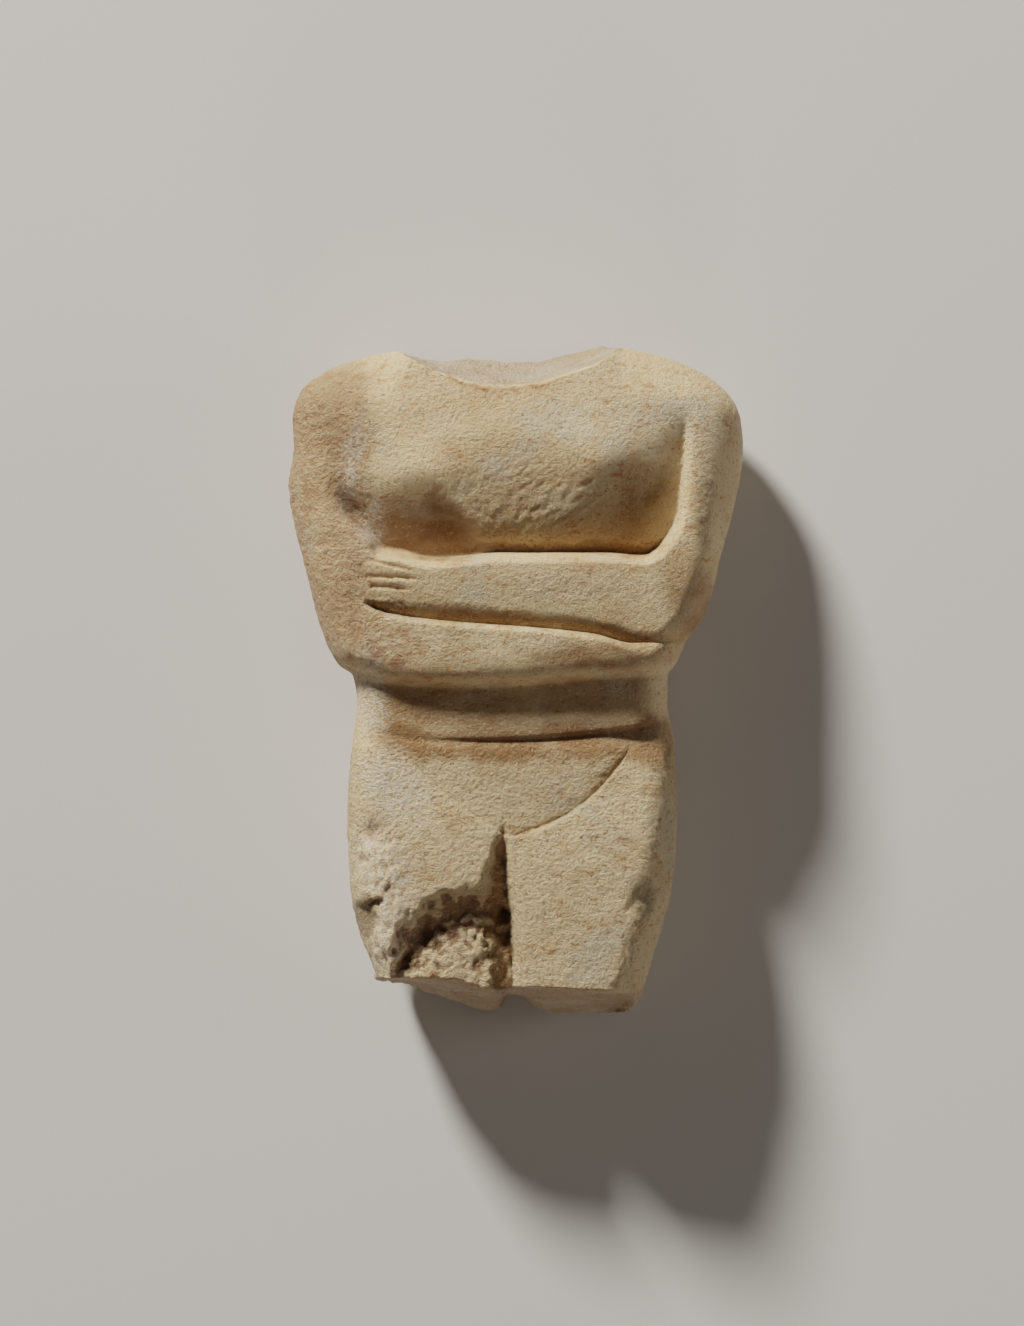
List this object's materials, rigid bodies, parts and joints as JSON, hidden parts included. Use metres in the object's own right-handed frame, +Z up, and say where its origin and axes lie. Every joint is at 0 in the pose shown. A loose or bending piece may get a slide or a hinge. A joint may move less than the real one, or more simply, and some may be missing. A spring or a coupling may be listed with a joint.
{
  "type": "marble torso fragment of a folded-arm figurine",
  "caption": "Broken marble torso of a folded-arm female figurine, neck and lower legs lost, lying on its back.",
  "frame": {"origin": "on the floor under the back, at the middle of the torso's width and length", "axes": "+X across the shoulders towards the figure's own left arm, +Y along the body towards the broken neck, +Z up out of the chest; the torso lies on its back on z = 0"},
  "size_m": [0.1056, 0.1554, 0.0382],
  "materials": {
    "marble": "weathered, buff-patinated white marble, matt and fine-grained"
  },
  "bodies": {
    "root": {"torso": "marble"}
  },
  "joints": []
}
